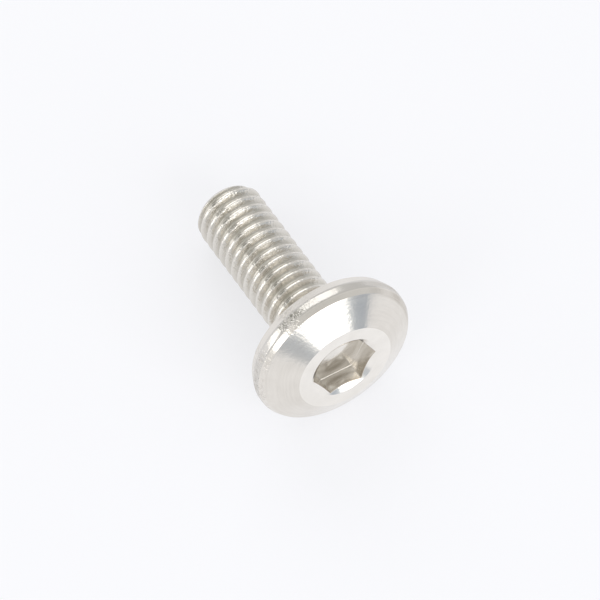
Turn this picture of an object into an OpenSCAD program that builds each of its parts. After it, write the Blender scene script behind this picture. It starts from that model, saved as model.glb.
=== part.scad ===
// Machine screw with a wide, low cone head, a hex socket and a rolled metric thread.
// All lengths are in millimetres and all angles in degrees.
//
// The screw is first drawn upright: its axis on Z, its bearing face at height 0,
// the head above and the shank below. It is then laid down the way it comes to rest,
// on the rim of its head and on the thread by its tip, with the head toward +X.

/* [Thread] */
// Nominal outside diameter of the thread
thread_d = 6; // [4:0.5:8]
// Distance along the axis from one turn of the right-hand thread to the next
pitch = 1; // [0.8:0.05:1.25]
// Angle between the two flanks of the groove
flank_angle = 60; // [50:1:70]
// Distance of the crests below the nominal outside, measured along the radius
crest_allowance = 0.06; // [0.01:0.005:0.1]
// Turn of the whole thread about the axis
thread_turn = 180; // [0:5:355]

/* [Shank] */
// Length from the bearing face to the tip
shank_length = 16; // [10:1:24]
// Length of the plain neck below the bearing face
neck_length = 1.1; // [0.8:0.1:3]
// Length over which the groove fades out toward the neck
run_out = 1; // [0.5:0.1:2]
// Radius of the fillet between the neck and the bearing face
neck_fillet = 0.4; // [0.2:0.05:0.6]
// Height of the chamfer at the tip
tip_height = 0.6; // [0.3:0.1:1]
// Depth of the chamfer at the tip, measured along the radius
tip_depth = 0.5; // [0.2:0.05:0.8]

/* [Head] */
// Outside diameter of the head
head_d = 14; // [12:0.5:18]
// Height of the head from its bearing face to the flat ring
head_height = 3.55; // [3:0.05:5]
// Height of the rim, from the bearing face to the foot of the cone
rim_height = 2.15; // [2.05:0.05:2.6]
// Height of the bevel at the back of the rim
back_height = 0.95; // [0.4:0.05:1.2]
// Depth of that bevel, measured along the radius
back_depth = 0.4; // [0.1:0.05:0.6]
// Height of the bevel between the rim and the cone
bevel_height = 0.5; // [0.2:0.05:0.7]
// Depth of that bevel, measured along the radius
bevel_depth = 0.3; // [0.1:0.05:0.6]
// Outside diameter of the flat ring round the socket
ring_d = 8.4; // [7.5:0.1:10]

/* [Socket] */
// Width of the hex socket across its flats
socket_width = 5; // [3:0.5:6]
// Depth of the socket below the flat ring
socket_depth = 1.7; // [1.4:0.1:2.4]
// Turn of the socket about the axis
socket_turn = 25; // [0:1:59]
// Distance of the countersink's edge beyond the corners of the hex
countersink_margin = 0.15; // [0.05:0.05:0.3]
// Included angle of the countersink
countersink_angle = 120; // [90:5:140]

/* [Hidden] */
// Colour of bright stainless steel
steel = [0.79, 0.76, 0.71];
// Facets of the turned surfaces
$fn = 96;
// Columns of points round the thread
columns = 36;
// Small overshoot of a cut past the face that it opens
overshoot = 0.1;

neck_r = thread_d / 2;
crest_r = neck_r - crest_allowance;
// Flats of the metric profile at the crest and at the root; a lower crest has a wider flat
flank_slope = tan(flank_angle / 2);
crest_flat = pitch / 8 + 2 * crest_allowance * flank_slope;
root_flat = pitch / 4;
flank_run = (pitch - crest_flat - root_flat) / 2;
thread_depth = flank_run / flank_slope;
// Places along one pitch where the profile changes, from the middle of a crest
profile_stops = [crest_flat / 2, (pitch - root_flat) / 2, (pitch + root_flat) / 2, pitch - crest_flat / 2];
stops = len(profile_stops);
// The thread starts at the tip and ends hidden inside the neck
thread_low = -shank_length;
thread_high = -neck_length / 2;
first_turn = floor(thread_low / pitch) - 3;
last_turn = ceil(thread_high / pitch) + 2;
rows = stops * (last_turn - first_turn + 1);

rim_r = head_d / 2;
cone_r = rim_r - bevel_depth;
ring_r = ring_d / 2;
band_top = rim_height - bevel_height;
socket_corner_r = socket_width / 2 / cos(30);
countersink_r = socket_corner_r + countersink_margin;
countersink_slope = tan(countersink_angle / 2);

// Lying down, the first full crest by the tip and an edge of the back bevel touch the floor together:
// the edge that needs the larger lean is the one that touches.
reach = shank_length - tip_height;
drop = rim_r - crest_r;
lean = max(atan2(drop, reach + back_height), atan2(drop - back_depth, reach));
axis_height = reach * sin(lean) + crest_r * cos(lean);
// The middle of the lying screw along X
front_x = head_height * cos(lean) + ring_r * sin(lean);
tip_x = -shank_length * cos(lean) - (crest_r - tip_depth) * sin(lean);
middle_x = (front_x + tip_x) / 2;

function clamp(value, low, high) = min(max(value, low), high);

// Radius of the thread at one angle and height: the groove, its run-out and the tip's chamfer
function thread_radius(angle, z) =
    let (
        turns = z / pitch - (angle + thread_turn) / 360,
        from_root = abs(turns - floor(turns) - 0.5) * pitch,
        rise = clamp((from_root - root_flat / 2) / flank_run, 0, 1),
        full = clamp((-neck_length - z) / run_out, 0, 1),
        chamfer = clamp(1 - (z - thread_low) / tip_height, 0, 1)
    )
    crest_r - max(thread_depth * (1 - rise) * full, tip_depth * chamfer);

// Height of a profile stop on one column, held between the ends of the thread
function stop_height(angle, row) =
    let (turn = first_turn + floor(row / stops) + (angle + thread_turn) / 360)
    clamp(turn * pitch + profile_stops[row % stops], thread_low, thread_high);

function thread_point(angle, row) =
    let (z = stop_height(angle, row), r = thread_radius(angle, z))
    [r * cos(angle), r * sin(angle), z];

// One closed surface: columns that climb with the helix, and a fan at each end
module threaded_shank() {
    points = [
        for (c = [0:columns - 1]) for (row = [0:rows - 1]) thread_point(c * 360 / columns, row),
        [0, 0, thread_low],
        [0, 0, thread_high]
    ];
    low_middle = columns * rows;
    high_middle = low_middle + 1;
    // After a full turn the columns meet one pitch higher
    function at(c, row) = c < columns ? c * rows + row : min(row + stops, rows - 1);
    walls = [
        for (c = [0:columns - 1]) for (row = [0:rows - 2])
            for (face = [
                [at(c, row), at(c, row + 1), at(c + 1, row + 1)],
                [at(c, row), at(c + 1, row + 1), at(c + 1, row)]
            ]) face
    ];
    ends = [
        for (c = [0:columns - 1]) for (face = [
            [low_middle, at(c, 0), at(c + 1, 0)],
            [high_middle, at(c + 1, rows - 1), at(c, rows - 1)]
        ]) face
    ];
    polyhedron(points, concat(walls, ends), convexity = 10);
}

// Half section of the head and neck, from the axis outward
module turned_section() {
    difference() {
        polygon([
            [0, -neck_length],
            [neck_r, -neck_length],
            [neck_r, -neck_fillet],
            [neck_r + neck_fillet, -neck_fillet],
            [neck_r + neck_fillet, 0],
            [rim_r - back_depth, 0],
            [rim_r, back_height],
            [rim_r, band_top],
            [cone_r, rim_height],
            [ring_r, head_height],
            [0, head_height]
        ]);
        translate([neck_r + neck_fillet, -neck_fillet]) circle(neck_fillet);
    }
}

// Hex hole with a flat floor and a countersunk mouth
module hex_socket() {
    translate([0, 0, head_height - socket_depth])
        rotate([0, 0, socket_turn])
            cylinder(r = socket_corner_r, h = socket_depth + overshoot, $fn = 6);
    translate([0, 0, head_height - countersink_r / countersink_slope])
        cylinder(r1 = 0, r2 = countersink_r + overshoot * countersink_slope,
            h = countersink_r / countersink_slope + overshoot);
}

module screw() {
    color(steel)
        translate([-middle_x, 0, axis_height])
            rotate([0, 90 - lean, 0]) {
                difference() {
                    rotate_extrude() turned_section();
                    hex_socket();
                }
                threaded_shank();
            }
}

screw();
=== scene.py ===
"""Looks of a bright steel machine screw: a wide cone head, a hex socket and a metric thread.

The screw is one closed surface, a grid of rows and columns. The columns stand round the screw's axis.
The rows run from the middle of the socket's floor up the socket's walls, over the head, down the
threaded shank and in to the middle of the tip. Sizes are in millimetres, with the axis on Z and the
bearing face at height 0, until the screw is laid down in the shared frame in metres.
"""

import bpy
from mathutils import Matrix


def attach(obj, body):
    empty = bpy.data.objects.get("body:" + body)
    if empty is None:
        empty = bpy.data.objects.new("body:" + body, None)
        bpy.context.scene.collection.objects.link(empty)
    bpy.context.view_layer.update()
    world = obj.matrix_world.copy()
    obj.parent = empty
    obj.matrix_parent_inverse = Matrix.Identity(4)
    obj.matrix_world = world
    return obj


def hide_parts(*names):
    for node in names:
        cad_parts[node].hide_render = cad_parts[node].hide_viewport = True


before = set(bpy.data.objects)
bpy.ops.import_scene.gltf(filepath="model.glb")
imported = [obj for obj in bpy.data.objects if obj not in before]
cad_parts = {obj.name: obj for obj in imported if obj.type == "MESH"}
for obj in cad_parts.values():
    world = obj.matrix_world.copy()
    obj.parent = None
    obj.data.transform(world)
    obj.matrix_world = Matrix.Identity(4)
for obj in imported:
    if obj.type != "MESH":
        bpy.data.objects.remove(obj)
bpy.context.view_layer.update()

import logging
import math
from dataclasses import dataclass, field
from enum import Enum

import bpy
import numpy as np
from bpy.types import Material, Mesh, Node, NodeSocket, NodeTree, Object, World
from mathutils import Vector

LOG = logging.getLogger("screw")
MM = 0.001
# Radius in mm at which the lathe coordinates run true to size round the axis
LATHE_RADIUS = 5.0
# Half of the angle between two corners of a hex, in degrees, and its cosine
HALF_SIDE = 30.0
HALF_SIDE_COS = math.cos(math.radians(HALF_SIDE))
# Distance in mm of the supporting rows from the ends of a side, and the largest share of it they take
SUPPORT = 0.03
LARGEST_INSET = 0.2
# Distances in mm by which a face may lie past an edge and still count as on this side of it
FLOOR_LEEWAY = 0.01
MOUTH_LEEWAY = 0.02
EDGE_LEEWAY = 0.03
BEVEL_LEEWAY = 0.1
BACK_LEEWAY = 0.15
# Depth of the pits as a multiple of the dents, and the roughness that they add
PIT_DEPTH = 3.2
PIT_ROUGHNESS = 0.5
# Share of the sheen in the roughness, of the film outside grooves, and of it that edges have lost
SHEEN_SHARE = 0.6
FAINT_FILM = 0.12
BARE_EDGE = 0.8
Array = np.ndarray
Colour = tuple[float, float, float]


class Finish(Enum):
    """Ways in which the screw's surfaces are worked, in the order of the mesh's material slots."""

    TURNED = 0
    FACED = 1
    BEVELLED = 2
    TUMBLED = 3
    PUNCHED = 4
    ROLLED = 5


def clamp(values: Array) -> Array:
    """Values held between 0 and 1."""
    return np.clip(values, 0.0, 1.0)


def smoothstep(values: Array) -> Array:
    """Values held between 0 and 1, with an easy start and end: 3 t squared less 2 t cubed."""
    held = clamp(values)
    return held * held * (3.0 - 2.0 * held)


def soft_max(first: Array, second: Array | float, width: float) -> Array:
    """The larger of two values, rounded where they differ by less than the width.

    Formula: the maximum plus width / 4 times the square of how close the two are, as a share of width.
    """
    close = clamp(1.0 - np.abs(first - second) / width)
    return np.maximum(first, second) + 0.25 * width * close * close


def soft_min(first: Array, second: Array | float, width: float) -> Array:
    """The smaller of two values, rounded where they cross, as the mirror of soft_max."""
    return -soft_max(-first, -np.asarray(second), width)


@dataclass
class Profile:
    """Rows of a surface round the axis, as a radius and a height for each column.

    Attributes:
        points: Radius and height, of shape (rows, columns, 2).
        edge: 1 in the middle of a rounded edge and 0 away from edges, of shape (rows, columns).
        groove: 1 where the surface is darkest, as at the bottom of a thread groove, in the socket's
            stripes (partly painted shade) and on the rim's stretch of painted shade; 0 elsewhere, of
            shape (rows, columns).
    """

    points: Array
    edge: Array
    groove: Array

    def joined(self, other: "Profile") -> "Profile":
        """This profile with the rows of another one after it."""
        return Profile(
            np.concatenate([self.points, other.points]),
            np.concatenate([self.edge, other.edge]),
            np.concatenate([self.groove, other.groove]),
        )


@dataclass(frozen=True)
class Corner:
    """One corner of a section and the straight side that leads to it.

    Attributes:
        radius: Distance from the axis, one number or one for each column.
        height: Height along the axis, one number or one for each column.
        rounding: Radius of the rounding.
        steps: Rows spent on the rounding.
        side_rows: Rows spent on the side that leads to this corner.
    """

    radius: Array | float
    height: Array | float
    rounding: float = 0.0
    steps: int = 0
    side_rows: int = 0


def rounded_section(corners: list[Corner], columns: int) -> Profile:
    """Carries a section through its corners, with every inner corner rounded.

    Formula: a corner is cut back on both sides by rounding * tan(turn / 2). The cut is closed by a
    rational quadratic curve whose middle weight is cos(turn / 2), which is an exact arc of a circle.
    Each side has a row close to both of its ends, so that flat faces stay flat in smooth shading.

    Args:
        corners: The corners in order; the first and the last are the ends.
        columns: Number of columns round the axis.

    Returns:
        The rows from the first corner to the last.
    """
    spread = np.zeros(columns)
    places = [np.stack(np.broadcast_arrays(c.radius, c.height, spread)[:2], -1) for c in corners]
    rows, edges = [places[0]], [0.0]
    start = places[0]
    for index in range(1, len(corners)):
        corner, here = corners[index], places[index]
        inward = here - places[index - 1]
        inward = inward / np.linalg.norm(inward, axis=-1, keepdims=True)
        arc = np.empty((0, columns, 2))
        end = here
        if index < len(corners) - 1:
            outward = places[index + 1] - here
            outward = outward / np.linalg.norm(outward, axis=-1, keepdims=True)
            turn = np.sum(inward * outward, axis=-1, keepdims=True)
            cut = corner.rounding * np.sqrt((1.0 - turn) / (1.0 + turn))
            weight = np.sqrt((1.0 + turn) / 2.0)
            end = here - cut * inward
            t = np.linspace(0.0, 1.0, corner.steps + 1)[1:, None, None]
            shares = (1.0 - t) ** 2, 2.0 * t * (1.0 - t) * weight, t**2
            total = shares[0] + shares[1] + shares[2]
            arc = (shares[0] * end + shares[1] * here + shares[2] * (here + cut * outward)) / total
        length = np.linalg.norm(end - start, axis=-1).min()
        inset = min(SUPPORT / length, LARGEST_INSET)
        spots = np.concatenate([np.linspace(inset, 1.0 - inset, max(corner.side_rows, 2)), [1.0]])
        side = start + spots[:, None, None] * (end - start)
        rows += [*side, *arc]
        edges += [0.0] * len(side) + list(np.sin(np.linspace(0.0, math.pi, len(arc) + 1))[1:])
        start = rows[-1]
    points = np.stack(rows)
    edge = np.repeat(np.array(edges)[:, None], columns, axis=1)
    return Profile(points, edge, np.zeros_like(edge))


def closed_mesh(name: str, grid: Array, ends: Array) -> Mesh:
    """Makes a mesh from rows of points round an axis, with a fan that closes each end.

    Args:
        name: Name of the mesh.
        grid: The points, of shape (rows, columns, 3).
        ends: Middle of the first row and, if the last row is closed too, its middle.

    Returns:
        The mesh. Its faces are the quads between the rows, and then the fans.
    """
    rows, columns = grid.shape[:2]
    number = np.arange(rows * columns).reshape(rows, columns)
    right = np.roll(number, -1, axis=1)
    faces = np.stack([number[:-1], number[1:], right[1:], right[:-1]], -1).reshape(-1, 4).tolist()
    faces += np.stack([np.full(columns, rows * columns), number[0], right[0]], -1).tolist()
    if len(ends) > 1:
        faces += np.stack([number[-1], np.full(columns, rows * columns + 1), right[-1]], -1).tolist()
    mesh = bpy.data.meshes.new(name)
    mesh.from_pydata(np.concatenate([grid.reshape(-1, 3), ends]).tolist(), [], faces)
    return mesh


def heading(bearing: float, elevation: float) -> Vector:
    """The unit vector toward a bearing, from +X toward +Y, and an elevation, both in degrees."""
    turn, rise = math.radians(bearing), math.radians(elevation)
    return Vector((math.cos(rise) * math.cos(turn), math.cos(rise) * math.sin(turn), math.sin(rise)))


@dataclass(frozen=True)
class SmearAndShade:
    """A dull, darker stripe in the socket that runs along the mouth's edge: partly a stain, partly
    painted shade.

    Attributes:
        depth: Distance of its middle from the mouth, down the wall and in along the floor.
        reach: Distance from its middle to where it has faded to a third.
        strength: How dark and dull it is, from 0 to 1.
        focus: How closely it keeps to one side of the socket.
    """

    depth: float
    reach: float
    strength: float
    focus: float


@dataclass
class Socket:
    """The punched hex hole with a flat floor and a countersunk mouth.

    Attributes:
        width: Width across the flats.
        depth: Depth below the flat ring.
        turn: Turn about the axis, in degrees.
        countersink_margin: Distance of the countersink's edge beyond the corners of the hex.
        countersink_angle: Included angle of the countersink, in degrees.
        corner_rounding: Radius in the upright corners of the hex.
        floor_rounding: Radius between the floor and the walls.
        mouth_rounding: Radius between the walls and the countersink.
        brim_rounding: Radius between the countersink and the flat ring.
        side_rows: Rows spent on the floor and on the walls.
        floor_steps: Rows spent on the rounding between them.
        floor_middle: Share of the wall's radius at which the first row of the floor stands.
        corner_columns: Columns from a corner to the end of its rounding.
        flat_columns: Columns from there to the middle of a flat.
        column_gap: Angle between those two sets, in degrees.
        smears_and_shade: Dull, darker stripes, partly stains and partly painted shade, strongest on one
            side.
        smear_and_shade_turn: Angle of that side about the axis, in degrees.
    """

    width: float = 5.0
    depth: float = 1.7
    turn: float = 25.0
    countersink_margin: float = 0.15
    countersink_angle: float = 120.0
    corner_rounding: float = 0.12
    floor_rounding: float = 0.03
    mouth_rounding: float = 0.05
    brim_rounding: float = 0.06
    side_rows: int = 16
    floor_steps: int = 5
    floor_middle: float = 0.12
    corner_columns: int = 4
    flat_columns: int = 8
    column_gap: float = 0.6
    # Stripes of stain and painted shade: the dark line just below the mouth, and darker bands down the
    # walls and across the floor, strongest on one side
    smears_and_shade: tuple[SmearAndShade, ...] = (
        SmearAndShade(0.15, 0.12, 0.60, 8.0),
        SmearAndShade(0.85, 0.15, 0.60, 3.0),
        SmearAndShade(1.40, 0.05, 0.40, 6.0),
        SmearAndShade(2.10, 0.60, 0.75, 2.0),
        SmearAndShade(2.85, 0.35, 0.95, 2.0),
    )
    smear_and_shade_turn: float = 355.0

    @property
    def mouth_row(self) -> int:
        """Number of the row at the top of the walls, counted from the middle of the floor."""
        return 2 * (self.side_rows + 1) + self.floor_steps

    @property
    def apothem(self) -> float:
        """Distance from the axis to a flat."""
        return self.width / 2.0

    @property
    def countersink_r(self) -> float:
        """Radius of the countersink where it meets the flat ring."""
        return self.apothem / HALF_SIDE_COS + self.countersink_margin

    @property
    def corner_centre(self) -> float:
        """Distance from the axis to the centre of a corner's rounding."""
        return (self.apothem - self.corner_rounding) / HALF_SIDE_COS

    @property
    def corner_reach(self) -> float:
        """Angle from a corner to the start of the flat beside it, in degrees."""
        across = self.corner_rounding * math.sin(math.radians(HALF_SIDE))
        along = self.corner_centre + self.corner_rounding * HALF_SIDE_COS
        return math.degrees(math.atan2(across, along))

    def column_angles(self) -> Array:
        """Angles of the grid's columns: close round each corner of the hex, even along each flat.

        Returns:
            The angles in degrees, rising through one full turn.
        """
        near = np.linspace(0.0, self.corner_reach, self.corner_columns)
        far = np.linspace(self.corner_reach + self.column_gap, HALF_SIDE, self.flat_columns)
        half = np.concatenate([near, far])
        sector = np.concatenate([half, 2.0 * HALF_SIDE - half[-2:0:-1]])
        return self.turn + (2.0 * HALF_SIDE * np.arange(6)[:, None] + sector).ravel()

    def hex_radius(self, angles: Array) -> Array:
        """Distance from the axis to the wall at each angle.

        Formula: the flat is apothem / cos(angle from its middle). Near a corner the wall is the far
        side of a circle, d cos(a) + the root of (rounding squared less d squared sin(a) squared).

        Args:
            angles: Angles about the axis, in degrees.

        Returns:
            One radius for each angle.
        """
        off_corner = np.radians((angles - self.turn + HALF_SIDE) % (2.0 * HALF_SIDE) - HALF_SIDE)
        flat = self.apothem / np.cos(np.radians(HALF_SIDE) - np.abs(off_corner))
        across = self.corner_centre * np.sin(off_corner)
        root = np.sqrt(np.maximum(self.corner_rounding**2 - across**2, 0.0))
        arc = self.corner_centre * np.cos(off_corner) + root
        return np.where(np.abs(np.degrees(off_corner)) < self.corner_reach, arc, flat)

    def mouth_height(self, radius: Array, ring_height: float) -> Array:
        """Height of the countersink's cone at each radius."""
        slope = math.tan(math.radians(self.countersink_angle / 2.0))
        return ring_height - (self.countersink_r - radius) / slope

    def smeared_and_shaded(self, points: Array, angles: Array, ring_height: float) -> Array:
        """How dark and dull the socket is painted at each point: stains together with painted shade.

        Formula: the distance from the mouth is the way down the wall plus the way in along the floor.
        The stripes are bells of that distance, weighed by half of one plus the cosine of the angle from
        their side, to the power of their focus.

        Args:
            points: Radius and height, of shape (rows, columns, 2).
            angles: Angles of the columns, in degrees.
            ring_height: Height of the flat ring.

        Returns:
            One value for each point, 0 outside the socket.
        """
        wall = self.hex_radius(angles)
        top = self.mouth_height(wall, ring_height)
        way = (top - points[..., 1]) + (wall - points[..., 0])
        side = 0.5 + 0.5 * np.cos(np.radians(angles - self.smear_and_shade_turn))
        total = np.zeros_like(way)
        for smear_and_shade in self.smears_and_shade:
            bell = np.exp(-(((way - smear_and_shade.depth) / smear_and_shade.reach) ** 2))
            total += smear_and_shade.strength * bell * side**smear_and_shade.focus
        inside = points[..., 0] < wall + FLOOR_LEEWAY
        inside &= points[..., 1] > ring_height - self.depth - FLOOR_LEEWAY
        return np.where(inside, clamp(total), 0.0)

    def corners(self, angles: Array, ring_height: float) -> list[Corner]:
        """Corners of the section from the middle of the floor to the brim.

        Args:
            angles: Angles of the columns, in degrees.
            ring_height: Height of the flat ring.

        Returns:
            Four corners; the wall's top follows the cone of the countersink round the hex.
        """
        wall = self.hex_radius(angles)
        floor = ring_height - self.depth
        top = self.mouth_height(wall, ring_height)
        return [
            Corner(wall * self.floor_middle, floor),
            Corner(wall, floor, self.floor_rounding, self.floor_steps, self.side_rows),
            Corner(wall, top, self.mouth_rounding, 4, self.side_rows),
            Corner(self.countersink_r, ring_height, self.brim_rounding, 4, 4),
        ]


@dataclass(frozen=True)
class WearAndShadeStretch:
    """A stretch of the rim, used both for scuffs and for a stretch of painted shade.

    Attributes:
        turn: Angle of its middle about the axis, in degrees.
        reach: Angle from its middle to where it has faded to a third, in degrees.
        depth: How strong it is, from 0 to 1.
    """

    turn: float
    reach: float
    depth: float


def wear_and_shade(scuffs: tuple[WearAndShadeStretch, ...], angles: Array) -> Array:
    """How strong the stretches are at each angle, scuffs and painted shade alike: the sum of bells round
    their middles.

    Args:
        scuffs: The stretches: the rim's scuffs, and in one call its stretch of painted shade.
        angles: Angles about the axis, in degrees.

    Returns:
        One value for each angle, from 0 to 1.
    """
    total = np.zeros_like(angles)
    for stretch in scuffs:
        away = (angles - stretch.turn + 180.0) % 360.0 - 180.0
        total += stretch.depth * np.exp(-((away / stretch.reach) ** 2))
    return clamp(total)


@dataclass
class Head:
    """The wide head: a flat ring, a cone, and a rim with a bevel on both sides.

    Attributes:
        diameter: Outside diameter.
        height: Height from the bearing face to the flat ring.
        rim_height: Height of the foot of the cone.
        back_height: Height of the bevel at the back of the rim.
        back_depth: Depth of that bevel along the radius.
        bevel_height: Height of the bevel between the rim and the cone.
        bevel_depth: Depth of that bevel along the radius.
        ring_d: Outside diameter of the flat ring.
        ring_edge: Radius between the ring and the cone.
        foot_edge: Radius between the cone and the bevel.
        band_edge: Radius between the bevel and the rim.
        back_edge: Radius between the rim and the back bevel.
        under_edge: Radius between the back bevel and the bearing face.
        scuffs: Scuffed stretches of the rim.
        painted_shade_stretches: Darker, duller stretches of the rim: painted shade where the rim reflects
            darker floor.
        socket: The hex socket.
    """

    diameter: float = 14.0
    height: float = 3.55
    rim_height: float = 2.15
    back_height: float = 0.95
    back_depth: float = 0.4
    bevel_height: float = 0.5
    bevel_depth: float = 0.3
    ring_d: float = 8.4
    ring_edge: float = 0.12
    foot_edge: float = 0.06
    band_edge: float = 0.7
    back_edge: float = 0.8
    under_edge: float = 0.1
    scuffs: tuple[WearAndShadeStretch, ...] = (
        WearAndShadeStretch(205.0, 6.5, 0.9),
        WearAndShadeStretch(239.0, 5.0, 0.5),
        WearAndShadeStretch(268.0, 25.0, 0.75),
        WearAndShadeStretch(187.0, 8.0, 0.25),
        WearAndShadeStretch(40.0, 35.0, 0.5),
    )
    # Painted shade: a darker, duller stretch of the rim where it reflects darker floor
    painted_shade_stretches: tuple[WearAndShadeStretch, ...] = (WearAndShadeStretch(110.0, 25.0, 0.7),)
    socket: Socket = field(default_factory=Socket)

    @property
    def rim_r(self) -> float:
        """Outside radius."""
        return self.diameter / 2.0

    def section(self, angles: Array, neck_r: float, neck_length: float, fillet: float) -> Profile:
        """The rows from the socket's floor over the head to the end of the plain neck.

        Args:
            angles: Angles of the columns, in degrees.
            neck_r: Radius of the neck.
            neck_length: Length of the neck.
            fillet: Radius between the neck and the bearing face.

        Returns:
            The rows of the head, with the socket's stripes, partly painted shade, and the rim's stretch
            of painted shade.
        """
        corners = self.socket.corners(angles, self.height)
        corners += [
            Corner(self.ring_d / 2.0, self.height, self.ring_edge, 5, 6),
            Corner(self.rim_r - self.bevel_depth, self.rim_height, self.foot_edge, 4, 12),
            Corner(self.rim_r, self.rim_height - self.bevel_height, self.band_edge, 6, 3),
            Corner(self.rim_r, self.back_height, self.back_edge, 8, 4),
            Corner(self.rim_r - self.back_depth, 0.0, self.under_edge, 8, 4),
            Corner(neck_r, 0.0, fillet, 8, 8),
            Corner(neck_r, -neck_length, 0.0, 0, 4),
        ]
        profile = rounded_section(corners, len(angles))
        # The socket's stripes, partly painted shade, go into the groove value
        profile.groove = self.socket.smeared_and_shaded(profile.points, angles, self.height)
        # The rim's stretch of painted shade goes into the groove value
        profile.groove += self.outside(profile.points[..., 0]) * wear_and_shade(self.painted_shade_stretches, angles)
        return profile

    def outside(self, radius: Array) -> Array:
        """Whether a place lies on the rim or on its bevels, by its distance from the axis."""
        return radius > self.rim_r - self.back_depth - BEVEL_LEEWAY

    def finish_of(self, radius: Array, height: Array) -> Array:
        """The finish of each face of the head, by its place.

        Args:
            radius: Distance of each face from the axis.
            height: Height of each face.

        Returns:
            Numbers of the finishes.
        """
        above_floor = height > self.height - self.socket.depth - FLOOR_LEEWAY
        in_socket = above_floor & (radius < self.socket.countersink_r)
        in_socket &= height < self.socket.mouth_height(radius, self.height) - MOUTH_LEEWAY
        on_ring = above_floor & (radius < self.ring_d / 2.0 + EDGE_LEEWAY)
        outside = self.outside(radius)
        on_rim = outside & (height < self.rim_height - self.bevel_height + EDGE_LEEWAY)
        on_rim &= height > self.back_height - BACK_LEEWAY
        on_bevel = outside & (height < self.rim_height)
        places = [in_socket, on_ring, on_rim, on_bevel]
        order = (Finish.PUNCHED, Finish.FACED, Finish.TUMBLED, Finish.BEVELLED)
        return np.select(places, [finish.value for finish in order], Finish.TURNED.value)


@dataclass
class Shank:
    """The neck, the rolled right-hand thread and the chamfered tip.

    Attributes:
        thread_d: Nominal outside diameter.
        pitch: Distance from one turn to the next.
        flank_angle: Angle between the flanks of the groove, in degrees.
        crest_allowance: Distance of the crests below the nominal outside.
        thread_turn: Turn of the thread about the axis, in degrees.
        length: Length from the bearing face to the tip.
        neck_length: Length of the plain neck.
        run_out: Length over which the groove fades out toward the neck.
        neck_fillet: Radius between the neck and the bearing face.
        tip_height: Height of the tip's chamfer.
        tip_depth: Depth of that chamfer along the radius.
        tip_dish: Depth of the shallow dish that rolling leaves in the tip.
        rows_per_pitch: Rows of the grid in one pitch.
        crest_rounding: Share of the flank over which the crest is rounded.
        root_rounding: Share of the flank over which the root is rounded.
        tip_rounding: Difference in depth over which the thread runs into the chamfer.
        face_shares: Radii of the rows on the tip's face, as shares of its edge.
        dish_share: Share of the radius over which the dish deepens.
        film_start: Depth of the groove below the chamfer at which the film is full.
        bare_share: Half width of the bare crest, as a share of the crest's flat.
    """

    thread_d: float = 6.0
    pitch: float = 1.0
    flank_angle: float = 60.0
    crest_allowance: float = 0.06
    thread_turn: float = 180.0
    length: float = 16.0
    neck_length: float = 1.1
    run_out: float = 1.0
    neck_fillet: float = 0.4
    tip_height: float = 0.6
    tip_depth: float = 0.5
    tip_dish: float = 0.12
    rows_per_pitch: int = 36
    crest_rounding: float = 0.1
    root_rounding: float = 0.35
    tip_rounding: float = 0.05
    face_shares: tuple[float, ...] = (0.992, 0.97, 0.9, 0.75, 0.55, 0.35, 0.15)
    dish_share: float = 0.6
    film_start: float = 0.2
    bare_share: float = 0.6

    @property
    def neck_r(self) -> float:
        """Radius of the plain neck."""
        return self.thread_d / 2.0

    @property
    def crest_r(self) -> float:
        """Radius of the thread's crests."""
        return self.neck_r - self.crest_allowance

    def section(self, angles: Array) -> Profile:
        """The rows of the thread and the tip.

        Formula: the place in the pitch is height / pitch less the share of the turn. The distance from
        the root rises along straight flanks, with a rounded crest and root. The groove's depth fades
        in over the run-out, and the tip's chamfer cuts whatever stands proud of it. The tip's face is
        the last ring of the thread drawn in to the axis, with a shallow dish.

        Args:
            angles: Angles of the columns, in degrees.

        Returns:
            The rows from just below the neck to the middle of the tip.
        """
        slope = math.tan(math.radians(self.flank_angle / 2.0))
        crest_flat = self.pitch / 8.0 + 2.0 * self.crest_allowance * slope
        root_flat = self.pitch / 4.0
        flank = (self.pitch - crest_flat - root_flat) / 2.0
        depth = flank / slope
        count = round((self.length - self.neck_length) / self.pitch * self.rows_per_pitch)
        height = -np.linspace(self.neck_length, self.length, count + 1)[1:, None]
        turns = height / self.pitch - (angles[None, :] + self.thread_turn) / 360.0
        from_root = np.abs(turns - np.floor(turns) - 0.5) * self.pitch
        rise = (from_root - root_flat / 2.0) / flank
        rise = soft_max(soft_min(rise, 1.0, self.crest_rounding), 0.0, self.root_rounding)
        full = smoothstep((-self.neck_length - height) / self.run_out)
        groove = (1.0 - rise) * full
        chamfer = self.tip_depth * clamp(1.0 - (height + self.length) / self.tip_height)
        cut = soft_max(depth * groove, chamfer + np.zeros_like(groove), self.tip_rounding)
        radius = self.neck_r - self.crest_allowance * full - cut
        wall = np.stack([radius, height + np.zeros_like(radius)], -1)
        shares = np.array(self.face_shares)[:, None]
        face_r = shares * radius[-1]
        dish = self.tip_dish * smoothstep((1.0 - shares) / self.dish_share)
        face_z = -self.length + dish + np.zeros_like(face_r)
        face = np.stack([face_r, face_z], -1)
        film = groove * smoothstep((depth * groove - chamfer) / self.film_start)
        from_crest = from_root - self.pitch / 2.0
        crest = np.exp(-((from_crest / (self.bare_share * crest_flat)) ** 2)) * full
        bare = np.zeros_like(face_r)
        return Profile(wall, crest, film).joined(Profile(face, bare, bare))


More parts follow.
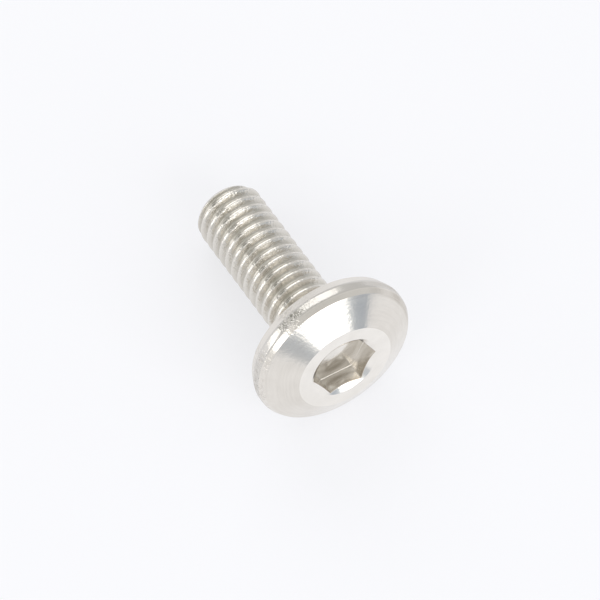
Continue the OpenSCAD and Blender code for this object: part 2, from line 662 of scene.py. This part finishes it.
class NodeSheet:
    """A node tree that is filled one node at a time."""

    def __init__(self, tree: NodeTree) -> None:
        """Keeps the tree of a material, a world or a group, and empties it."""
        self.tree = tree
        self.tree.nodes.clear()

    def add(self, kind: str, inputs: dict | None = None, **settings: object) -> Node:
        """Adds a node, sets its properties and fills its sockets.

        Args:
            kind: Type of the node, without the ShaderNode that the shader nodes start with.
            inputs: Values or output sockets for its inputs, by name or number.
            settings: Properties of the node.

        Returns:
            The new node.
        """
        full = kind if kind.startswith("Node") else "ShaderNode" + kind
        node = self.tree.nodes.new(full)
        for name, value in settings.items():
            setattr(node, name, value)
        self.fill(node, inputs or {})
        return node

    def fill(self, node: Node, inputs: dict) -> None:
        """Fills some of a node's sockets.

        Args:
            node: The node.
            inputs: Values or output sockets for its inputs, by name or number.
        """
        for name, value in inputs.items():
            if isinstance(value, NodeSocket):
                self.tree.links.new(value, node.inputs[name])
            else:
                node.inputs[name].default_value = value

    def math(self, operation: str, *values: object) -> NodeSocket:
        """The output of a Math node with these inputs."""
        return self.add("Math", dict(enumerate(values)), operation=operation).outputs[0]

    def ramp(self, value: object, low: float, high: float) -> NodeSocket:
        """The way of a value from low to high as 0 to 1, held at both ends."""
        inputs = {"Value": value, "From Min": low, "From Max": high}
        return self.add("MapRange", inputs, clamp=True).outputs[0]

    def blend(self, factor: object, first: object, second: object) -> NodeSocket:
        """The colour between two others, the first at 0 and the second at 1."""
        inputs = {"Factor": factor, 6: first, 7: second}
        return self.add("Mix", inputs, data_type="RGBA").outputs[2]

    def place_in_mm(self) -> NodeSocket:
        """The place in the object, in mm."""
        scaled = {0: self.add("TexCoord").outputs["Object"], "Scale": 1.0 / MM}
        return self.add("VectorMath", scaled, operation="SCALE").outputs[0]


def new_group(
    name: str, inputs: dict[str, str], outputs: dict[str, str]
) -> tuple[NodeSheet, dict, Node]:
    """Starts a shader node group.

    Args:
        name: Name of the group.
        inputs: Types of its inputs, by name.
        outputs: Types of its outputs, by name.

    Returns:
        Its sheet, the sockets that give its inputs, and the node that takes its outputs.
    """
    tree = bpy.data.node_groups.new(name, "ShaderNodeTree")
    for direction, sockets in (("INPUT", inputs), ("OUTPUT", outputs)):
        for socket, kind in sockets.items():
            tree.interface.new_socket(socket, in_out=direction, socket_type="NodeSocket" + kind)
    sheet = NodeSheet(tree)
    given = sheet.add("NodeGroupInput").outputs
    taken = sheet.add("NodeGroupOutput")
    return sheet, {name: given[name] for name in inputs}, taken


class SteelEffects:
    """Node groups that the steel's finishes share, each built once."""

    def __init__(self) -> None:
        """Builds the groups."""
        self.marks = self.working_marks()
        self.grain = self.tumbled_grain()
        self.film = self.film_and_shade()

    def working_marks(self) -> NodeTree:
        """Fine lines that a tool leaves: noise on the lathe coordinates, drawn out one way.

        Returns:
            The group; Marks is the number of marks in a mm round and along the section.
        """
        wanted = {"Height": "Float", "Sheen": "Float", "Streaks": "Float"}
        sheet, given, taken = new_group("working marks", {"Marks": "Vector"}, wanted)
        place = sheet.add("Attribute", attribute_name="lathe").outputs["Vector"]
        drawn = sheet.add("VectorMath", {0: place, 1: given["Marks"]}, operation="MULTIPLY").outputs[0]
        fine = sheet.add("TexNoise", {"Vector": drawn, "Scale": 1.0, "Detail": 3.0, "Roughness": 0.6})
        wide = sheet.add("TexNoise", {"Vector": drawn, "Scale": 0.23, "Detail": 1.0, "Roughness": 0.5})
        deep = sheet.ramp(fine.outputs[0], 0.44, 0.62)
        sheet.fill(taken, {"Height": fine.outputs[0], "Sheen": wide.outputs[0], "Streaks": deep})
        return sheet.tree

    def tumbled_grain(self) -> NodeTree:
        """Small dents and dull spots from tumbling: noise in space, with pits where the rim is scuffed.

        Returns:
            The group; Grains is their number in a mm.
        """
        wanted = {"Height": "Float", "Pits": "Float"}
        sheet, given, taken = new_group("tumbled grain", {"Grains": "Float"}, wanted)
        place = {"Vector": sheet.place_in_mm(), "Scale": given["Grains"]}
        waves = sheet.add("TexNoise", {**place, "Detail": 3.0})
        spots = sheet.add("TexNoise", {**place, "Detail": 2.0, "Distortion": 0.6})
        wear = sheet.add("Attribute", attribute_name="wear").outputs["Fac"]
        deep = sheet.math("MULTIPLY", sheet.ramp(spots.outputs[0], 0.46, 0.62), wear)
        dented = sheet.math("MULTIPLY_ADD", deep, -PIT_DEPTH, waves.outputs[0])
        sheet.fill(taken, {"Height": dented, "Pits": deep})
        return sheet.tree

    def film_and_shade(self) -> NodeTree:
        """A darker, duller coat where the groove value and the stains call for it, broken up by clouds,
        and bare bright edges. Through the groove value it darkens the thread toward its groove bottoms
        and paints shade into the socket's stripes and onto one stretch of the rim.

        Returns:
            The group; Color is the steel's colour and Dull is how far the film covers it.
        """
        wanted = {"Bare": "Color", "Film": "Color", "Stains": "Float"}
        sheet, given, taken = new_group("film and shade", wanted, {"Color": "Color", "Dull": "Float"})
        # The groove value holds painted shade too: the socket's stripes in part, and one stretch of the
        # rim
        groove = sheet.add("Attribute", attribute_name="groove").outputs["Fac"]
        edge = sheet.add("Attribute", attribute_name="edge").outputs["Fac"]
        clouds = sheet.add("TexNoise", {"Vector": sheet.place_in_mm(), "Scale": 0.7, "Detail": 4.0})
        cloudy = sheet.ramp(clouds.outputs[0], 0.3, 0.7)
        deep = sheet.math("MULTIPLY", groove, sheet.math("MULTIPLY_ADD", cloudy, 0.5, 0.5))
        stained = sheet.math("ADD", given["Stains"], deep)
        faint = sheet.math("MULTIPLY_ADD", cloudy, FAINT_FILM, stained)
        kept = sheet.math("MULTIPLY", faint, sheet.math("MULTIPLY_ADD", edge, -BARE_EDGE, 1.0))
        cover = sheet.math("MINIMUM", kept, 1.0)
        tone = sheet.blend(cover, given["Bare"], given["Film"])
        sheet.fill(taken, {"Color": tone, "Dull": cover})
        return sheet.tree


@dataclass(frozen=True)
class SteelFinish:
    """One way in which the steel is worked.

    Attributes:
        bare: Colour of the clean steel.
        film: Colour under the dull film.
        polish: Roughness of the clean steel.
        dulling: Roughness that the film and the sheen add.
        marks: Tool marks in a mm, round the axis twice and along the section.
        mark_height: Height of the tool marks in mm.
        grains: Dents in a mm.
        grain_height: Depth of the dents in mm.
        pits: How far the deepest dents are dulled and roughened.
        streaks: How far the tool marks are stained.
    """

    bare: Colour
    film: Colour
    polish: float
    dulling: float
    marks: tuple[float, float, float]
    mark_height: float
    grains: float
    grain_height: float
    pits: float = 0.0
    streaks: float = 0.0

    def material(self, name: str, effects: SteelEffects) -> Material:
        """Makes the material from the shared effects.

        Args:
            name: Name of the material.
            effects: The shared node groups.

        Returns:
            The finished material.
        """
        made = bpy.data.materials.new(name)
        made.use_nodes = True
        sheet = NodeSheet(made.node_tree)
        marks = sheet.add("Group", {"Marks": self.marks}, node_tree=effects.marks)
        grain = sheet.add("Group", {"Grains": self.grains}, node_tree=effects.grain)
        pits = sheet.math("MULTIPLY", grain.outputs["Pits"], self.pits)
        stains = sheet.math("MULTIPLY_ADD", marks.outputs["Streaks"], self.streaks, pits)
        tones = {"Bare": (*self.bare, 1.0), "Film": (*self.film, 1.0), "Stains": stains}
        film = sheet.add("Group", tones, node_tree=effects.film)
        dents = sheet.math("MULTIPLY", grain.outputs["Height"], self.grain_height)
        height = sheet.math("MULTIPLY_ADD", marks.outputs["Height"], self.mark_height, dents)
        bump = sheet.add("Bump", {"Strength": 1.0, "Distance": MM, "Height": height})
        uneven = sheet.math("MULTIPLY_ADD", marks.outputs["Sheen"], SHEEN_SHARE, film.outputs["Dull"])
        worked = sheet.math("MULTIPLY_ADD", uneven, self.dulling, self.polish)
        rough = sheet.math("MULTIPLY_ADD", pits, PIT_ROUGHNESS, worked)
        looks = {"Base Color": film.outputs["Color"], "Metallic": 1.0, "Roughness": rough}
        steel = sheet.add("BsdfPrincipled", {**looks, "Normal": bump.outputs["Normal"]})
        sheet.add("OutputMaterial", {"Surface": steel.outputs[0]})
        return made


STEEL = (0.80, 0.765, 0.71)
CLEAN_STEEL = (0.91, 0.88, 0.83)
DULL_STEEL = (0.68, 0.655, 0.615)
ROLLED_STEEL = (0.75, 0.72, 0.667)
BROWNED = (0.46, 0.42, 0.36)
DARKENED = (0.555, 0.53, 0.47)
FINISHES = {
    Finish.TURNED: SteelFinish(
        STEEL, BROWNED, 0.15, 0.09, (0.25, 0.25, 6.0), 0.004, 4.0, 0.007, 0.0, 0.08
    ),
    Finish.FACED: SteelFinish(
        CLEAN_STEEL, BROWNED, 0.14, 0.08, (0.25, 0.25, 9.0), 0.0004, 3.0, 0.001
    ),
    Finish.BEVELLED: SteelFinish(
        STEEL, BROWNED, 0.16, 0.12, (0.5, 0.5, 7.0), 0.0006, 3.2, 0.008, 0.3
    ),
    Finish.TUMBLED: SteelFinish(
        DULL_STEEL, BROWNED, 0.17, 0.14, (0.5, 0.5, 7.0), 0.0006, 3.2, 0.014, 0.4
    ),
    Finish.PUNCHED: SteelFinish(
        CLEAN_STEEL, BROWNED, 0.07, 0.10, (0.05, 0.05, 2.4), 0.002, 2.0, 0.0015, 0.0, 0.12
    ),
    Finish.ROLLED: SteelFinish(
        ROLLED_STEEL, DARKENED, 0.15, 0.14, (0.9, 0.9, 6.0), 0.0012, 3.6, 0.055
    ),
}


@dataclass
class Screw:
    """The whole screw, laid down the way it comes to rest.

    Attributes:
        head: The head with its socket.
        shank: The neck, thread and tip.
    """

    head: Head = field(default_factory=Head)
    shank: Shank = field(default_factory=Shank)

    def lean(self) -> float:
        """Works out how far the axis leans: the last crest and an edge of the back bevel touch the floor.

        Returns:
            The angle in radians, for the edge that needs the larger one.
        """
        reach = self.shank.length - self.shank.tip_height
        drop = self.head.rim_r - self.shank.crest_r
        upper = math.atan2(drop, reach + self.head.back_height)
        lower = math.atan2(drop - self.head.back_depth, reach)
        return max(upper, lower)

    def bearing_centre(self) -> Array:
        """Works out where the bearing face stands, with the screw's middle over the origin.

        Returns:
            Its middle in mm, in the shared frame.
        """
        lean = self.lean()
        reach, drop = self.shank.length - self.shank.tip_height, self.shank.crest_r
        height = reach * math.sin(lean) + drop * math.cos(lean)
        front = self.head.height * math.cos(lean) + self.head.ring_d / 2.0 * math.sin(lean)
        end_r = self.shank.crest_r - self.shank.tip_depth
        back = -self.shank.length * math.cos(lean) - end_r * math.sin(lean)
        return np.array([-(front + back) / 2.0, 0.0, height])

    def laid_down(self, upright: Array) -> Array:
        """Points of the upright screw, turned about Y and moved to where it rests.

        Args:
            upright: Points in mm, with the axis on Z and the bearing face at height 0.

        Returns:
            The points in metres, in the shared frame.
        """
        lean = self.lean()
        x = upright[..., 0] * math.sin(lean) + upright[..., 2] * math.cos(lean)
        z = upright[..., 2] * math.sin(lean) - upright[..., 0] * math.cos(lean)
        return (np.stack([x, upright[..., 1], z], -1) + self.bearing_centre()) * MM

    def build(self) -> Object:
        """Makes the screw as one closed mesh.

        Formula: row i and column j stand at radius * (cos(angle), sin(angle)) and at the row's height.
        Quads join neighbouring rows and columns, and a fan closes the middle of the socket's floor and
        of the tip.

        Returns:
            The screw's object, with its attributes and its finish on every face.
        """
        shank = self.shank
        angles = self.head.socket.column_angles()
        top = self.head.section(angles, shank.neck_r, shank.neck_length, shank.neck_fillet)
        whole = top.joined(shank.section(angles))
        radius, height = whole.points[..., 0], whole.points[..., 1]
        turn = np.radians(angles)[None, :]
        grid = np.stack([radius * np.cos(turn), radius * np.sin(turn), height], -1)
        ends = np.array([[0.0, 0.0, height[0].mean()], [0.0, 0.0, height[-1].mean()]])
        mesh = closed_mesh("screw_steel", self.laid_down(grid), self.laid_down(ends))
        mesh.polygons.foreach_set("use_smooth", np.ones(len(mesh.polygons), bool))
        self.write_attributes(mesh, whole, turn, len(top.points))
        middle_r = (radius[:-1] + radius[1:]) / 2.0
        middle_z = (height[:-1] + height[1:]) / 2.0
        finish = self.head.finish_of(middle_r, middle_z)
        finish[len(top.points) - 1 :] = Finish.ROLLED.value
        fans = np.repeat([Finish.PUNCHED.value, Finish.ROLLED.value], len(angles))
        numbers = np.concatenate([finish.ravel(), fans]).astype(np.int32)
        mesh.polygons.foreach_set("material_index", numbers)
        mesh.update()
        made = bpy.data.objects.new("screw_steel", mesh)
        bpy.context.scene.collection.objects.link(made)
        return made

    def write_attributes(
        self, mesh: Mesh, whole: Profile, turn: Array, head_rows: int
    ) -> None:
        """Writes what the finishes read: the edge, the groove, the wear and the lathe coordinates.

        The lathe coordinates are a circle of fixed radius for the angle, and the distance along the
        section. In the socket that distance starts at the mouth, so marks run along the mouth's edge. On
        the shank it is the height, so marks follow the axis and not the flanks.

        Args:
            mesh: The screw's mesh.
            whole: All rows of the screw.
            turn: Angles of the columns in radians, of shape (1, columns).
            head_rows: Number of the rows before the thread.
        """
        steps = np.diff(whole.points, axis=0)
        step = np.linalg.norm(steps, axis=-1)
        step[head_rows - 1 :] = np.abs(steps[head_rows - 1 :, :, 1])
        along = np.concatenate([np.zeros_like(step[:1]), np.cumsum(step, axis=0)])
        mouth = self.head.socket.mouth_row
        along[: mouth + 1] -= along[mouth].copy()
        circle = LATHE_RADIUS * np.stack([np.cos(turn), np.sin(turn)], -1)
        ring = np.broadcast_to(circle, (*along.shape, 2))
        lathe = np.concatenate([ring, along[..., None]], -1).reshape(-1, 3)
        lathe = np.concatenate([lathe, [[0.0, 0.0, 0.0], [0.0, 0.0, along[-1].mean()]]])
        lathe_layer = mesh.attributes.new("lathe", "FLOAT_VECTOR", "POINT")
        lathe_layer.data.foreach_set("vector", lathe.astype(np.float32).ravel())
        wear = self.head.outside(whole.points[..., 0]) * wear_and_shade(self.head.scuffs, np.degrees(turn))
        for name, values in (("edge", whole.edge), ("groove", whole.groove), ("wear", wear)):
            layer = mesh.attributes.new(name, "FLOAT", "POINT")
            filled = np.concatenate([values.ravel(), [0.0, 0.0]])
            layer.data.foreach_set("value", filled.astype(np.float32))

    def dress(self, made: Object, effects: SteelEffects) -> None:
        """Gives the screw its finishes and ties it to the frame.

        Args:
            made: The screw's object.
            effects: The shared node groups.
        """
        for finish in Finish:
            name = finish.name.lower() + "_steel"
            made.data.materials.append(FINISHES[finish].material(name, effects))
        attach(made, "root")
        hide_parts("screw")


@dataclass(frozen=True)
class Softbox:
    """A soft lamp, placed by where the screw sees it.

    Attributes:
        name: Name of the lamp.
        bearing: Direction from +X toward +Y, in degrees.
        elevation: Height above the floor, in degrees.
        width: Width as seen from the screw, in degrees.
        height: Height as seen from the screw, in degrees.
        brightness: Radiance of its face.
    """

    name: str
    bearing: float
    elevation: float
    width: float
    height: float
    brightness: float

    def build(self, distance: float) -> Object:
        """Makes the lamp, facing the screw.

        Formula: a flat lamp gives off pi times its area times its radiance.

        Args:
            distance: Distance from the screw in metres.

        Returns:
            The lamp's object.
        """
        lamp = bpy.data.lights.new(self.name, "AREA")
        lamp.shape = "RECTANGLE"
        lamp.size = 2.0 * distance * math.tan(math.radians(self.width / 2.0))
        lamp.size_y = 2.0 * distance * math.tan(math.radians(self.height / 2.0))
        lamp.energy = math.pi * lamp.size * lamp.size_y * self.brightness
        made = bpy.data.objects.new(self.name, lamp)
        away = heading(self.bearing, self.elevation)
        made.location = away * distance
        made.rotation_mode = "QUATERNION"
        made.rotation_quaternion = (-away).to_track_quat("-Z", "Y")
        made.visible_camera = False
        bpy.context.scene.collection.objects.link(made)
        return made


@dataclass
class Studio:
    """The white table, the soft lamps, the pale room and the camera.

    Attributes:
        table_r: Radius of the table in metres.
        table_colour: Colour of the table.
        table_columns: Columns of the table's mesh.
        table_rings: Radii of its rings, as shares of its own.
        table_glow: Share of an even white that the camera and reflections see in the table.
        glow_colour: Colour of that white.
        lamp_distance: Distance of the lamps in metres.
        lamps: The lamps.
        room: Colour of the room at some elevations, in degrees.
        shade: Colour of the darker side of the room at some elevations, in degrees.
        shade_bearing: Direction of that side from +X toward +Y, in degrees.
        shade_reach: Cosines of the angles from there at which the shade ends and is full.
        corner: Bearing and elevation of the middle of the room's dark corner, in degrees.
        corner_reach: Angles from that middle where it starts to fade and where it ends, in degrees.
        corner_colour: Colour of the dark corner.
        azimuth: Direction of the camera, 0 at -Y and 90 at +X, in degrees.
        elevation: Height of the camera, in degrees.
        lens: Focal length in mm.
        sensor: Width of the sensor in mm.
        image: Width of the image in pixels.
        pixels_per_mm: Scale of the image at the bearing face.
        bearing_at: Pixel of the middle of the bearing face.
    """

    table_r: float = 0.35
    table_colour: Colour = (0.94, 0.945, 0.99)
    table_columns: int = 96
    table_rings: tuple[float, ...] = (0.05, 0.3, 0.65, 1.0)
    table_glow: float = 0.62
    glow_colour: Colour = (0.98, 0.983, 1.0)
    lamp_distance: float = 0.8
    lamps: tuple[Softbox, ...] = (
        Softbox("front_right_lamp", 8.0, 29.8, 40.0, 32.4, 2.2),
        Softbox("left_lamp", -122.0, 12.5, 32.0, 19.0, 1.5),
        Softbox("back_lamp", 168.0, 41.0, 46.0, 35.0, 1.0),
        Softbox("front_left_lamp", -71.0, 31.0, 22.0, 24.0, 1.9),
        Softbox("low_left_lamp", -75.0, 6.0, 34.0, 11.0, 0.15),
    )
    room: tuple[tuple[float, Colour], ...] = (
        (0.0, (0.74, 0.74, 0.75)),
        (30.0, (0.74, 0.74, 0.74)),
        (50.0, (0.72, 0.72, 0.72)),
        (70.0, (0.70, 0.70, 0.69)),
        (90.0, (0.68, 0.68, 0.67)),
    )
    shade: tuple[tuple[float, Colour], ...] = (
        (0.0, (0.41, 0.46, 0.535)),
        (8.0, (0.49, 0.545, 0.62)),
        (16.0, (0.66, 0.68, 0.70)),
        (50.0, (0.72, 0.72, 0.72)),
        (90.0, (0.68, 0.68, 0.67)),
    )
    shade_bearing: float = 20.0
    shade_reach: tuple[float, float] = (0.5, 0.9)
    corner: tuple[float, float] = (210.0, 30.0)
    corner_reach: tuple[float, float] = (11.0, 23.0)
    corner_colour: Colour = (0.27, 0.275, 0.245)
    azimuth: float = 59.0
    elevation: float = 66.0
    lens: float = 360.0
    sensor: float = 36.0
    image: float = 600.0
    pixels_per_mm: float = 12.418
    bearing_at: tuple[float, float] = (322.96, 337.99)

    def build_table(self) -> Object:
        """Makes the table as a disc of rings: radius times (cos, sin) of the angle.

        Returns:
            The table's object.
        """
        columns, rings = self.table_columns, np.array(self.table_rings) * self.table_r
        turn = np.linspace(0.0, 2.0 * math.pi, columns, endpoint=False)
        ring = np.stack([np.cos(turn), np.sin(turn), np.zeros(columns)], -1)
        mesh = closed_mesh("table", rings[:, None, None] * ring, np.zeros((1, 3)))
        made = bpy.data.objects.new("table", mesh)
        bpy.context.scene.collection.objects.link(made)
        paper = bpy.data.materials.new("white_table")
        paper.use_nodes = True
        sheet = NodeSheet(paper.node_tree)
        matt = sheet.add("BsdfDiffuse", {"Color": (*self.table_colour, 1.0)})
        white = sheet.add("Emission", {"Color": (*self.glow_colour, 1.0), "Strength": 1.0})
        ray = sheet.add("LightPath").outputs
        seen = sheet.math("MAXIMUM", ray["Is Camera Ray"], ray["Is Glossy Ray"])
        seen = sheet.math("MAXIMUM", seen, ray["Is Transmission Ray"])
        share = sheet.math("MULTIPLY", seen, self.table_glow)
        paint = sheet.add("MixShader", {0: share, 1: matt.outputs[0], 2: white.outputs[0]})
        sheet.add("OutputMaterial", {"Surface": paint.outputs[0]})
        mesh.materials.append(paper)
        return made

    def build_room(self) -> World:
        """Makes the pale room: a colour for each elevation, a shaded side and a dark corner.

        The elevation is read from the height of the direction. The shaded side is where the direction
        is near its bearing: the two stand less than 60 degrees apart. The dark corner is round.

        Returns:
            The world.
        """
        world = bpy.data.worlds.new("pale_room")
        world.use_nodes = True
        sheet = NodeSheet(world.node_tree)
        direction = sheet.add("TexCoord").outputs["Generated"]
        rise = sheet.add("SeparateXYZ", {0: direction}).outputs["Z"]
        sides = []
        for colours in (self.room, self.shade):
            tones = sheet.add("ValToRGB", {"Fac": rise})
            stops = tones.color_ramp.elements
            while len(stops) < len(colours):
                stops.new(0.5)
            for stop, (elevation, colour) in zip(stops, colours):
                stop.position = math.sin(math.radians(elevation))
                stop.color = (*colour, 1.0)
            sides.append(tones.outputs["Color"])
        inner, outer = (math.cos(math.radians(angle)) for angle in self.corner_reach)
        layers = (
            (heading(self.shade_bearing, 0.0), self.shade_reach, sides[1]),
            (heading(*self.corner), (outer, inner), (*self.corner_colour, 1.0)),
        )
        tone = sides[0]
        for toward, reach, colour in layers:
            cosine = sheet.add("VectorMath", {0: direction, 1: toward}, operation="DOT_PRODUCT")
            tone = sheet.blend(sheet.ramp(cosine.outputs["Value"], *reach), tone, colour)
        light = sheet.add("Background", {"Color": tone, "Strength": 1.0})
        sheet.add("OutputWorld", {"Surface": light.outputs[0]})
        bpy.context.scene.world = world
        return world

    def build_camera(self, bearing_centre: Array) -> Object:
        """Makes the camera so that the middle of the bearing face falls on its pixel.

        Args:
            bearing_centre: That point in mm, in the shared frame.

        Returns:
            The camera, which is also the scene's camera.
        """
        back = heading(self.azimuth - 90.0, self.elevation)
        right = heading(self.azimuth, 0.0)
        up = back.cross(right)
        middle = self.image / 2.0
        across = (middle - self.bearing_at[0]) / self.pixels_per_mm * MM
        above = (self.bearing_at[1] - middle) / self.pixels_per_mm * MM
        distance = self.lens / self.sensor * self.image / self.pixels_per_mm * MM
        data = bpy.data.cameras.new("camera")
        data.lens = self.lens
        data.sensor_width = self.sensor
        made = bpy.data.objects.new("camera", data)
        made.location = Vector(bearing_centre * MM) + right * across + up * above + back * distance
        made.rotation_mode = "QUATERNION"
        made.rotation_quaternion = (-back).to_track_quat("-Z", "Y")
        bpy.context.scene.collection.objects.link(made)
        bpy.context.scene.camera = made
        return made

    def build(self, bearing_centre: Array) -> None:
        """Builds the studio round the screw.

        Args:
            bearing_centre: Middle of the bearing face in mm, in the shared frame.
        """
        self.build_table()
        self.build_room()
        for lamp in self.lamps:
            lamp.build(self.lamp_distance)
        self.build_camera(bearing_centre)
        bpy.context.scene.view_settings.view_transform = "Standard"


def main() -> None:
    """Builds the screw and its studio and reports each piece."""
    logging.basicConfig(level=logging.INFO, format="%(name)s: %(message)s")
    screw = Screw()
    made = screw.build()
    screw.dress(made, SteelEffects())
    faces, finishes = len(made.data.polygons), len(made.data.materials)
    LOG.info("%s has %d faces and %d finishes", made.name, faces, finishes)
    studio = Studio()
    studio.build(screw.bearing_centre())
    LOG.info("the studio has a table, %d lamps, a room and a camera", len(studio.lamps))


if __name__ == "__main__":
    main()
